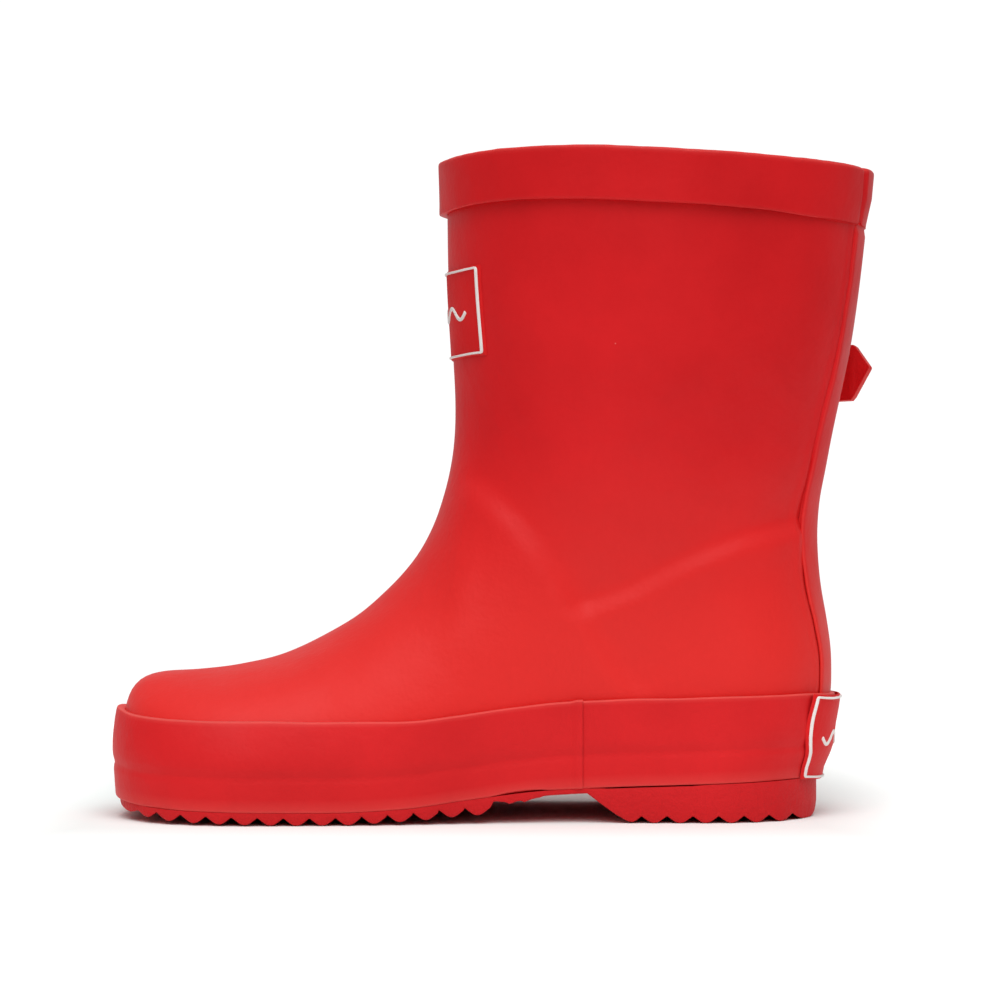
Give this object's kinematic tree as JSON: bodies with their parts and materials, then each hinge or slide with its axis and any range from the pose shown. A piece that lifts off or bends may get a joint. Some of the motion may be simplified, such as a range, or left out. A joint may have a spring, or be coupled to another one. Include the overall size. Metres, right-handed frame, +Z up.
{
  "type": "rain boot",
  "caption": "Child's pull-on rubber rain boot, right foot, with lining, footbed, saw-tooth sole and a buckled side strap.",
  "frame": {"origin": "on the ground, at the middle of the boot's bounding box in plan", "axes": "toe along -X and heel along +X; +Y to the outer (lateral) side of the right foot; +Z up"},
  "size_m": [0.1848, 0.0795, 0.158],
  "materials": {
    "red_rubber": "satin",
    "sole_rubber": "matte",
    "white_rubber": "satin",
    "ply_rubber": "matte",
    "cotton_lining": "knitted",
    "footbed_foam": "cloth-covered foam",
    "insole_board": "matte",
    "nickel": "satin nickel"
  },
  "bodies": {
    "boot": {"upper_shell": "red_rubber", "top_band": "red_rubber", "back_strip": "red_rubber", "foxing_front": "red_rubber", "foxing_heel": "red_rubber", "front_label": "red_rubber", "heel_label": "red_rubber", "strap": "red_rubber", "strap_tab": "red_rubber", "outsole": "sole_rubber", "heel_block": "sole_rubber", "midsole": "sole_rubber", "front_label_frame": "white_rubber", "front_label_wave": "white_rubber", "heel_label_frame": "white_rubber", "heel_label_wave": "white_rubber", "vamp_ply": "ply_rubber", "heel_counter": "ply_rubber", "lining": "cotton_lining", "footbed": "footbed_foam", "insole_board": "insole_board"},
    "strap_tail": {"strap_tail": "red_rubber"},
    "buckle_frame": {"buckle_frame": "nickel"},
    "buckle_prong": {"buckle_prong": "nickel"}
  },
  "joints": [
    {"name": "strap_tail_bend", "type": "hinge", "parent": "boot", "child": "strap_tail", "pos_m": [0.06258, 0.03531, 0.10611], "axis": [0.0506, 0.1398, 0.9889], "range_deg": [-10, 30]},
    {"name": "buckle_frame_pivot", "type": "hinge", "parent": "boot", "child": "buckle_frame", "pos_m": [0.05825, 0.03334, 0.10661], "axis": [-0.0506, -0.1398, -0.9889], "range_deg": [0, 10]},
    {"name": "buckle_prong_pivot", "type": "hinge", "parent": "buckle_frame", "child": "buckle_prong", "pos_m": [0.05825, 0.03334, 0.10661], "axis": [-0.0506, -0.1398, -0.9889], "range_deg": [0, 14]}
  ]
}
